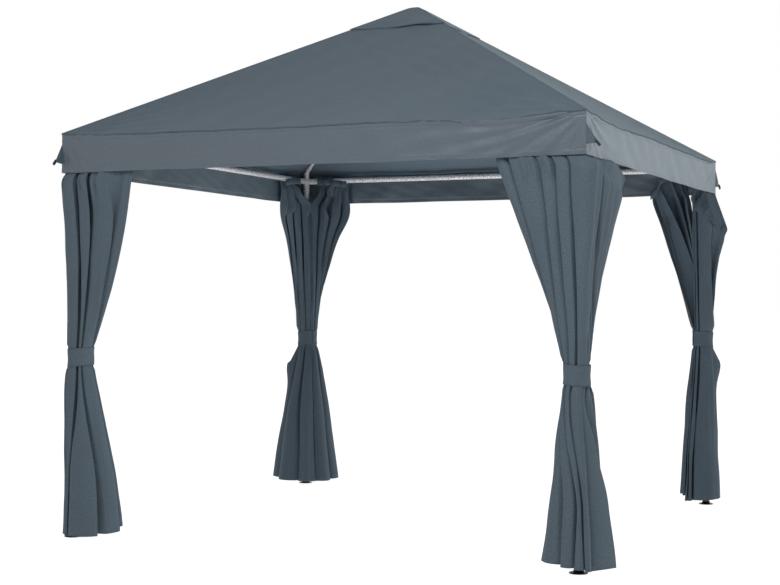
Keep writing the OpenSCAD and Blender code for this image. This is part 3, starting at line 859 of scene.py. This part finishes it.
def panel_rows(how, place, upper, lower, seed):
    """Panels between the tucks: places moved from those at the top to those at the tie and then at the hem,
    with a slow wander, and the bow of each panel, half a sine wave as high as the panel is wide."""
    bounds, tie_bounds, hem_bounds = [np.concatenate([[0.0], places, [1.0]]) for places in how["folds"]]
    to_tie = ease(upper, 0.15, 0.85)
    to_hem = ease(lower, 0.0, 0.7)
    panel = np.searchsorted(bounds[1:-1], place, side="right")
    panel_run = bounds[panel + 1] - bounds[panel]
    in_panel = np.clip((place - bounds[panel]) / panel_run, 0.0, 1.0)
    hem_run = hem_bounds[panel + 1] - hem_bounds[panel]
    bow_run = panel_run + 0.5 * to_hem * (hem_run - panel_run)
    bow_run = np.where(lower > 0.0, np.minimum(bow_run, PANEL_WIDEST), bow_run)
    bow = np.sin(math.pi * in_panel) ** np.where(panel == 0, 2.0, 1.0) * bow_run
    wander = [ripple(1.1 * (upper + lower), 0.0, seed + 5 + k, low=0.4, high=1.2) for k in range(len(bounds))]
    wander = 0.018 * np.concatenate(wander, axis=1)
    wander[:, [0, -1]] = 0.0
    at_row = bounds + to_tie * (tie_bounds - bounds) + to_hem * (hem_bounds - tie_bounds) + wander
    rows = np.arange(len(upper))[:, None]
    moved = at_row[rows, panel] + in_panel * (at_row[rows, panel + 1] - at_row[rows, panel])
    return moved, bow


def rail_rows(how, place, upper, height):
    """Each row's line as the rail alone would give it, and the angle that each point faces. The line swells
    out under the valance, and its leading edge goes to a place inside the leg, or to the corner and past it
    with a quarter turn."""
    step_out = 0.014
    swell_above = 0.030
    below_valance = VALANCE_FOOT - height
    under = ease(below_valance, -swell_above, 0.08) * (1.0 - ease(upper, 0.12, 0.88))
    line_y = POCKET_Y[-1] - step_out * ease(upper, 0.0, 0.10) - how["swell"] * under
    line_y = line_y - how["lip"] * ease(below_valance, 0.0, 0.015) * hump(below_valance, 0.0, 0.09)
    bulge = how["bulge"] * under
    corner_out = bulge - line_y
    inside = how["lead"] is not None
    turn = ease(upper, 0.05, 0.09) if inside else ease(upper, 0.0, 0.13)
    lead_x, lead_y = how["lead"] if inside else (-corner_out - how["round"], line_y)
    lead = how["start"] + how["wrap"] * (lead_x - how["start"]) * turn
    reach = how["reach"] + how["flare"] * hump(upper, 0.20, 0.13)
    along = lead + (reach - lead) * place
    turn_at = np.maximum(-corner_out - lead, 0.0) / (reach - lead)
    past = np.zeros_like(place)
    facing = np.full_like(place, (0.5 if inside else -0.5) * math.pi)
    if how["round"]:
        past = np.maximum(-corner_out - along, 0.0)
        facing = facing * (1.0 + ease((turn_at - place) / 0.10 + 0.5))
    out_y = line_y * (1.0 - 0.4 * place ** 2) + past
    out_y += (lead_y - line_y) * turn * (1.0 - place) ** 1.5
    out_y -= bulge * hump(place, turn_at, 0.24)
    rail = np.stack([along + past, out_y], axis=-1)
    off_corner = np.cbrt((np.maximum(-rail, 0.0) ** 3).sum(axis=-1))
    pulled_in = corner_out / np.maximum(off_corner, corner_out)
    rail = rail * np.where(rail.max(axis=-1) < 0.0, pulled_in, 1.0)[..., None]
    return rail, facing


def bundle_rows(how, place, lower, height):
    """Each row's line as the tie and the skirt alone would give it: an arc from the leading edge to the free
    one, as wide as the bundle and then opening to the skirt, and the angle of each point round it."""
    centre, tie_z, tie_r = tie_centre(how["corner"])
    inside = how["lead"] is not None
    turn_below = 0.05
    turned = ease(tie_z + TIE_HALF - height, 0.0, TIE_WIDTH + turn_below)
    twist_above, twist_below = how["twist"]
    first = (BEYOND_LEG if inside else AT_CORNER) + twist_above * (1.0 - turned) + twist_below * turned
    last = AT_CORNER + FREE_SHORT * (1.0 - turned) if inside else FREE_EDGE
    angle = np.radians(first + (last - first) * place)
    spoke = np.stack([np.cos(angle), np.sin(angle)], axis=-1)
    tie_cover = 0.007
    waist = tie_r - tie_cover
    radius = waist + (how["skirt"] - waist) * lower ** how["cone"]
    shift = np.array(SKIRT_SHIFT[how["corner"]][::-1 if how["rail"] == "y" else 1]) - centre
    arc = centre + shift * ease(lower ** 0.8)[..., None] + radius[..., None] * spoke
    return arc, angle


def drape_relief(how, place, upper, lower, seed):
    """How far a curtain stands out of its rows besides panels and tucks: drag lines, a puff and a valley in
    the skirt, and a leading edge raised over the other half."""
    way = upper + lower
    relief = 0.0030 * ripple(2.0 * place, 2.0 * way, seed + 1, low=0.5, high=1.6)
    relief += 0.0026 * ripple(6.0 * place, 0.6 * way, seed + 8, low=0.6, high=1.5)
    relief += 0.0012 * ripple(4.0 * place + 2.0 * way, 3.0 * way, seed + 4, low=0.6, high=2.0)
    puff_at, puff, puff_low = how["puff"]
    relief += puff * hump(place, puff_at, 0.10) * hump(lower, puff_low, 0.10)
    valley_at, valley = how["valley"]
    relief -= valley * hump(place, valley_at, 0.09) * ease(lower, 0.0, 0.3)
    edge = ease(upper, 0.0, 0.15) * (1.0 - ease(upper, 0.75, 0.25)) + ease(lower, 0.0, 0.15)
    relief += how["over"] * hump(place, 0.0, 0.08) * edge
    return relief


def rod_pocket(how, along, gather, free):
    """Rows of a curtain over the rail, from the back hem over the frill to the front: the pocket's outline,
    fuller in the gathers, carried along the rail, with the free corner drooping and flopping out."""
    full = 0.5 + 0.5 * gather
    y = POCKET_Y[:-1, None] * (1.0 + 0.32 * full) - how["flop"] * free
    z = RAIL_Z + POCKET_Z[:-1, None] * (1.0 + 0.10 * (full - 0.5)) - how["droop"] * free
    return np.stack([np.broadcast_to(along, y.shape), y, z], axis=-1)


def curtain_sheet(props, how, seed):
    """Gathered curtain: u across the cloth, rows down it. Rows go over the rod pocket, then from the rail's
    line to the arc of half the bundle at the tie, then out to the skirt's arc at the hem. Across a row,
    broad panels follow that line and narrow tucks between them go in along its normal, so a few deep folds
    take up the cloth. Gathers and pinched tufts stand out at the heading."""
    rng = np.random.default_rng(seed)
    tie_z = tie_centre(how["corner"])[1]
    upper, lower, height = drape_rows(RAIL_Z + POCKET_Z[-1], tie_z, how["hem"])
    late = 1.0 - upper
    u, place, inward, aside = tuck_rows(how, upper + lower, rng, seed)
    place, bow = panel_rows(how, place, upper, lower, seed)

    # Each row's line is a mix of the rail's and the bundle's, with the ways out of it and along it
    rail, rail_facing = rail_rows(how, place, upper, height)
    arc, angle = bundle_rows(how, place, lower, height)
    by_rail = 1.0 - upper ** (1.0 + (how["sweep"] - 1.0) * place)
    line = by_rail[..., None] * rail + (1.0 - by_rail)[..., None] * arc
    facing = by_rail * rail_facing + (1.0 - by_rail) * angle
    normal = np.stack([np.cos(facing), np.sin(facing)], axis=-1)
    tangent = np.stack([-normal[..., 1], normal[..., 0]], axis=-1) * (-1.0) ** (how["lead"] is not None)

    # Gathers, which a drooping free corner has lost, and tufts
    free = np.clip((u - 0.40) / 0.60, 0.0, 1.0) ** 1.1
    gather = np.sin(2.0 * math.pi * GATHERS * u + 2.0 * ripple(u, 0.0, seed + 3, low=1.0, high=5.0))
    gather = gather * (1.0 - min(1.0, how["droop"] / 0.10) * ease(free, 0.0, 0.3))
    tufts = rng.uniform(0.08, 0.95, 5) if how["tufts"] is None else np.array(how["tufts"])
    tuft = hump(place[..., None], tufts, TUFT_WIDTH).sum(axis=-1)
    tuft = tuft * (1.0 - ease(upper, 0.16, 0.06)) * ease(upper, 0.0, 0.02)

    # Points out of the line and aside; the free corner droops and flops out, and the hem rises towards it
    length = np.linalg.norm(np.diff(line, axis=1), axis=-1).sum(axis=1, keepdims=True)
    out = PANEL_BOW * length * bow * (1.0 - 0.3 * late) - inward
    out += drape_relief(how, place, upper, lower, seed)
    out += GATHER_DEPTH * gather * (1.0 - ease(upper, 0.0, 0.10)) + TUFT_OUT * tuft
    plan = line + normal * out[..., None] + tangent * (aside - TUFT_ASIDE * tuft)[..., None]
    plan[..., 1] -= how["flop"] * free * late ** 1.2
    z = height - how["droop"] * free * late ** 1.6 + how["rise"] * u ** 2 * lower ** 2
    drape = np.concatenate([plan, z[..., None]], axis=-1)
    points = np.concatenate([rod_pocket(how, rail[0, :, 0], gather, free), drape])
    points = np.concatenate([points[:POCKET_KEPT], smooth_grid(points[POCKET_KEPT:], 2, 2)])
    keep_clear(points, how)
    uv, whole = drape_uv(points, props.width)
    return points, uv, whole


def tie_sheet(corner):
    """Tie as a band round the bundle: angle by height, waisted in the middle, scrunched into a few ridges,
    with its end lapped over its start."""
    centre, tie_z, tie_r = tie_centre(corner)
    whole_turn = 2.0 * math.pi
    lapped_turn = 0.55
    turn = np.linspace(0.0, whole_turn + lapped_turn, 97)
    high = np.linspace(-0.5, 0.5, 17)
    turn, high = np.meshgrid(turn, high, indexing="xy")
    lap = 0.0030 * ease(turn, whole_turn - 0.25, 0.35)
    scrunch = 1.3 * high + 0.3 * np.sin(turn + 0.7) + 0.2 * np.sin(2.0 * turn)
    ridge = 0.0008 * np.sin(whole_turn * scrunch)
    waist = 0.0016 * np.cos(math.pi * high)
    inset = 0.0022
    radius = tie_r - inset - waist + ridge + lap
    tilt = 0.006 * np.cos(turn - 0.6)
    points = np.stack([centre[0] + radius * np.cos(turn), centre[1] + radius * np.sin(turn),
                       tie_z + TIE_WIDTH * high + tilt], axis=-1)
    uv = np.stack([turn * tie_r, (high + 0.5) * TIE_WIDTH], axis=-1)
    return points, uv


def camera_matrix(place, turn):
    """Matrix of a camera at a place, from yaw, pitch and roll in degrees."""
    yaw, pitch, roll = np.radians(turn)
    ahead = np.array([-math.sin(yaw) * math.cos(pitch), math.cos(yaw) * math.cos(pitch), math.sin(pitch)])
    level = np.array([math.cos(yaw), math.sin(yaw), 0.0])
    up = np.cross(level, ahead)
    right = math.cos(roll) * level + math.sin(roll) * up
    above = math.cos(roll) * up - math.sin(roll) * level
    matrix = np.eye(4)
    matrix[:3] = np.stack([right, above, -ahead, place], axis=1)
    return Matrix(matrix.tolist())


def add_light(name, kind, power, tip, turn, **settings):
    """Lamp of a kind and a power, tipped from straight down and then turned, in degrees. The settings are
    those of its data."""
    lamp = bpy.data.objects.new(name, bpy.data.lights.new(name, kind))
    lamp.data.energy = power
    for key, value in settings.items():
        setattr(lamp.data, key, value)
    lamp.rotation_euler = (math.radians(tip), 0.0, math.radians(turn))
    lamp.visible_camera = False
    bpy.context.scene.collection.objects.link(lamp)
    return lamp


def ray_is(tree, *kinds):
    """1 for rays of the kinds given."""
    rays = put(tree, "ShaderNodeLightPath")
    match = 0.0
    for kind in kinds:
        match = calc(tree, "MAXIMUM", match, rays.outputs["Is " + kind + " Ray"])
    return match


def studio_world(fill):
    """World that lights with a soft fill, a little stronger from above, and shows as white."""
    world = bpy.data.worlds.new("studio")
    tree = empty_tree(world)
    way = put(tree, "ShaderNodeSeparateXYZ", {0: put(tree, "ShaderNodeTexCoord").outputs["Generated"]})
    level = remap(tree, way.outputs[2], fill, 1.2 * fill, stop=0.8)
    soft = put(tree, "ShaderNodeBackground", {"Color": (1.0, 1.0, 1.0, 1.0), "Strength": level})
    white = put(tree, "ShaderNodeBackground", {"Color": (1.0, 1.0, 1.0, 1.0), "Strength": 1.0})
    seen = ray_is(tree, "Camera", "Glossy", "Transmission")
    both = put(tree, "ShaderNodeMixShader", {0: seen, 1: soft.outputs[0], 2: white.outputs[0]})
    put(tree, "ShaderNodeOutputWorld", {"Surface": both.outputs[0]})
    return world


def floor_finish(name, colour, bounce):
    """Pale floor that glows: enough to show as white, and less for the light that it sends up."""
    material = bpy.data.materials.new(name)
    tree = empty_tree(material)
    strength = calc(tree, "MULTIPLY_ADD", ray_is(tree, "Camera", "Glossy"), FLOOR_SHOWN, bounce)
    glow = put(tree, "ShaderNodeEmission", {"Strength": strength})
    matt = put(tree, "ShaderNodeBsdfDiffuse", {"Color": shade(colour, 1.0)})
    both = put(tree, "ShaderNodeAddShader", {0: glow.outputs[0], 1: matt.outputs[0]})
    put(tree, "ShaderNodeOutputMaterial", {"Surface": both.outputs[0]})
    return material


class GAZEBO_OT_stage(bpy.types.Operator):
    """Makes the camera, the soft studio light and the pale floor"""

    bl_idname = "gazebo.stage"
    bl_label = "Stage"

    def execute(self, context):
        props = context.scene.gazebo_stage
        context.scene.view_settings.view_transform = "Standard"
        camera = bpy.data.objects.new("camera", bpy.data.cameras.new("camera"))
        context.scene.collection.objects.link(camera)
        context.scene.camera = camera
        camera.matrix_world = camera_matrix(CAMERA_PLACE, CAMERA_TURN)
        camera.data.sensor_width = CAMERA_SENSOR
        camera.data.lens = CAMERA_LENS
        camera.data.clip_end = CAMERA_FAR

        add_light("key", "SUN", props.key, tip=84.0, turn=124.0,
                  angle=math.radians(24.0), color=(0.93, 1.0, 1.04))
        add_light("front", "SUN", props.front, tip=72.0, turn=-34.0, angle=math.radians(50.0))
        box = add_light("softbox", "AREA", props.box, tip=56.0, turn=21.0, size=2.5)
        box.location = (1.6, -4.6, 4.6)
        glow = add_light("inner_glow", "AREA", props.glow, tip=180.0, turn=0.0,
                         size=2.4, spread=math.radians(80.0))
        glow.location = (0.0, 0.0, 0.02)
        context.scene.world = studio_world(props.fill)

        line = np.linspace(-FLOOR_HALF, FLOOR_HALF, FLOOR_POINTS)
        plan = np.stack(np.meshgrid(line, line, indexing="xy"), axis=-1)
        points = np.concatenate([plan, np.zeros_like(plan[..., :1])], axis=-1)
        mesh = sheet_mesh("floor", points, plan)
        mesh.materials.append(floor_finish("pale_floor", tuple(props.floor), props.bounce))
        floor = bpy.data.objects.new("floor", mesh)
        context.scene.collection.objects.link(floor)
        return {"FINISHED"}


class GAZEBO_OT_frame(bpy.types.Operator):
    """Gives the tubes and sockets their hammered coat and the feet their moulded black"""

    bl_idname = "gazebo.frame"
    bl_label = "Frame Finishes"

    def execute(self, context):
        props = context.scene.gazebo_frame
        steel = hammered_finish("hammered_steel_coat", tuple(props.steel), props.dimple)
        black = moulded_finish("foot_moulding", tuple(props.foot))
        steel_starts = ("leg_", "eave_rail_", "hip_rafter_", "corner_socket_", "crown_hub")
        for name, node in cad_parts.items():
            finish = steel if name.startswith(steel_starts) else black if name.startswith("foot_") else None
            if finish:
                node.data.materials.clear()
                node.data.materials.append(finish)
        return {"FINISHED"}


class GAZEBO_OT_canopy(bpy.types.Operator):
    """Lays the roof cloth over the hips, hangs the valance and puts the vent cap on"""

    bl_idname = "gazebo.canopy"
    bl_label = "Canopy"

    def execute(self, context):
        props = context.scene.gazebo_canopy
        colour = tuple(props.colour)
        # The valance is the canopy's own cloth, given a colour 20% darker as painted shade: a shaded copy of
        # the one cloth
        valance_painted_shade = shade(colour, 0.80)[:3]
        hem_seam = EAVE - props.eave_sag - VALANCE_FOOT - props.hem
        roof_cloth = cloth_finish("canopy_roof_cloth", colour, weave=0.0010, rough=0.55, gloss=0.24,
                                  sheen=0.12, cross_rows=(0.005,), hip_rows=(0.004, 0.012))
        valance_cloth = cloth_finish("canopy_valance_cloth", valance_painted_shade, weave=0.0010, rough=0.31, gloss=0.72,
                                     sheen=0.50, cross_rows=(0.022, hem_seam))
        cap_cloth = cloth_finish("canopy_cap_cloth", colour, weave=0.0010, rough=0.55, gloss=0.22,
                                 sheen=0.15, cross_rows=(0.018,), hip_rows=(0.004, 0.010))
        points, uv, gap = roof_sheet(props)
        mesh = sheet_mesh("canopy_roof", points, uv, closed=True, marks={"hip_gap": gap})
        roof = add_piece("canopy_roof", mesh, roof_cloth, props.cloth)
        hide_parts(*["roof_panel_" + s for s in SIDES])
        points, uv = valance_sheet(props)
        mesh = sheet_mesh("canopy_valance", points, uv, closed=True, flip=True)
        valance = add_piece("canopy_valance", mesh, valance_cloth, props.cloth)
        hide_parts(*["valance_" + s for s in SIDES])
        points, uv, gap = cap_sheet(props)
        mesh = sheet_mesh("canopy_cap", points, uv, closed=True, marks={"hip_gap": gap})
        close_top(mesh, points)
        cap = add_piece("canopy_cap", mesh, cap_cloth, props.cloth)
        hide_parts("vent_cap")
        return {"FINISHED"}


class GAZEBO_OT_tabs(bpy.types.Operator):
    """Sews the guy tabs into the corners and the webbing loops onto their tips"""

    bl_idname = "gazebo.tabs"
    bl_label = "Corner Tabs"

    def execute(self, context):
        cloth = cloth_finish("tab_cloth", tuple(context.scene.gazebo_canopy.colour), weave=0.0010, rough=0.60,
                             gloss=0.30, sheen=0.10, run_rows=(0.004,))
        strap = webbing_finish("guy_webbing", tuple(context.scene.gazebo_frame.webbing))
        low, high = span_of("corner_tabs")
        reach = (high[0] - HALF) * math.sqrt(2.0)
        for corner in CORNERS:
            points, uv = tab_sheet(corner, low[2], high[2], reach)
            mesh = sheet_mesh("guy_tab", points, uv)
            tab = add_piece("guy_tab_" + corner, mesh, cloth, TAB_CLOTH)
            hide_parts("corner_tabs")
            points, uv = loop_strap(corner, low[2], reach)
            mesh = sheet_mesh("guy_loop", points, uv)
            loop = add_piece("guy_loop_" + corner, mesh, strap, LOOP_WEBBING)
            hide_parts("guy_loops")
        return {"FINISHED"}


class GAZEBO_OT_curtains(bpy.types.Operator):
    """Hangs a pair of gathered curtains at every corner and ties them to the legs"""

    bl_idname = "gazebo.curtains"
    bl_label = "Curtains"

    def execute(self, context):
        props = context.scene.gazebo_curtains
        colour = tuple(props.colour)
        side_hem = 0.018
        tie_hem = 0.006
        cloth = cloth_finish("curtain_cloth_weave", colour, weave=0.0012, rough=0.72, gloss=0.25, sheen=0.04,
                             run_rows=(side_hem, props.width - side_hem))
        band = cloth_finish("tie_cloth", colour, weave=0.0012, rough=0.72, gloss=0.25, sheen=0.04,
                            cross_rows=(tie_hem, TIE_WIDTH - tie_hem))
        for number, (node, how) in enumerate(CURTAINS.items()):
            points, uv, length = curtain_sheet(props, how, seed=100 + 10 * number)
            placed, turned = to_corner(how["corner"], points, how["rail"])
            mesh = sheet_mesh(node + "_drape", placed, uv, flip=turned)
            drape = add_piece(node + "_drape", mesh, cloth, props.cloth)
            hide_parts(node)
        for corner in CORNERS:
            points, uv = tie_sheet(corner)
            placed, turned = to_corner(corner, points)
            mesh = sheet_mesh("tie_band_" + corner, placed, uv, flip=not turned)
            tie = add_piece("tie_band_" + corner, mesh, band, TIE_CLOTH)
            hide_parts("tie_back_" + corner)
        return {"FINISHED"}


class GAZEBO_PT_panel(bpy.types.Panel):
    """Lists the makers and their values in the sidebar"""

    bl_idname = "GAZEBO_PT_panel"
    bl_label = "Gazebo"
    bl_space_type = "VIEW_3D"
    bl_region_type = "UI"
    bl_category = "Gazebo"

    def draw(self, context):
        for maker in MAKERS:
            self.layout.operator(maker.bl_idname)
        for name, group in GROUPS.items():
            box = self.layout.box()
            for key in group.__annotations__:
                box.prop(getattr(context.scene, name), key)


GROUPS = {"gazebo_canopy": CanopyProps, "gazebo_curtains": CurtainProps,
          "gazebo_frame": FrameProps, "gazebo_stage": StageProps}
MAKERS = (GAZEBO_OT_stage, GAZEBO_OT_frame, GAZEBO_OT_canopy, GAZEBO_OT_tabs, GAZEBO_OT_curtains)
CLASSES = tuple(GROUPS.values()) + MAKERS + (GAZEBO_PT_panel,)


def register():
    """Adds the classes to Blender and the groups of values to the scene."""
    for item in CLASSES:
        bpy.utils.register_class(item)
    for name, group in GROUPS.items():
        setattr(bpy.types.Scene, name, bpy.props.PointerProperty(type=group))


def unregister():
    """Takes the groups and classes away again."""
    for name in GROUPS:
        delattr(bpy.types.Scene, name)
    for item in reversed(CLASSES):
        bpy.utils.unregister_class(item)


def main():
    """Makes everything in order."""
    register()
    bpy.ops.gazebo.stage()
    bpy.ops.gazebo.frame()
    bpy.ops.gazebo.canopy()
    bpy.ops.gazebo.tabs()
    bpy.ops.gazebo.curtains()


if __name__ == "__main__":
    main()
